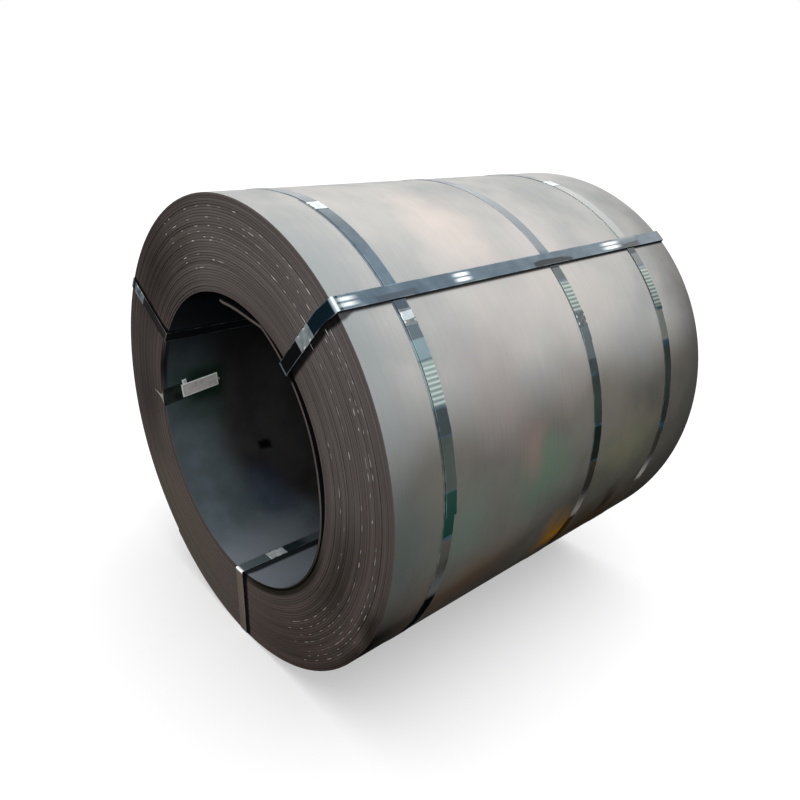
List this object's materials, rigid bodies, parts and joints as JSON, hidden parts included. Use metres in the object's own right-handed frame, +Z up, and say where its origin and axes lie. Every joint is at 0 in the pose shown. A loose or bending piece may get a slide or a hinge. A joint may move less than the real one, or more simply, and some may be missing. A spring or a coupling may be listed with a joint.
{
  "type": "strapped hot-rolled steel coil",
  "caption": "Coil of hot-rolled steel strip lying on its side, with steel straps round it and through its bore, crimped seals and a blank label.",
  "frame": {"origin": "on the bore's axis, halfway along the strip's width", "axes": "+X along the bore towards the far end, +Z up with the coil lying on its side, the near end with its label and seals at -X"},
  "size_m": [1.1785, 1.1957, 1.197],
  "materials": {
    "coil_steel": "hot-rolled mill scale, satin",
    "strap_steel": "blued and waxed, half gloss",
    "seal_steel": "zinc plated, half gloss",
    "backing_sheet": "satin",
    "label_paper": "matt"
  },
  "bodies": {
    "root": {"coil": "coil_steel", "belly_band_near": "strap_steel", "belly_band_middle": "strap_steel", "belly_band_far": "strap_steel", "eye_strap_right": "strap_steel", "eye_strap_bottom": "strap_steel", "eye_strap_left": "strap_steel", "belly_seal_near_lower": "seal_steel", "belly_seal_near_upper": "seal_steel", "belly_seal_middle": "seal_steel", "belly_seal_far": "seal_steel", "eye_seal_right": "seal_steel", "eye_seal_left": "seal_steel", "eye_seal_bottom": "seal_steel", "label_backing": "backing_sheet", "label_plate": "label_paper"}
  },
  "joints": []
}
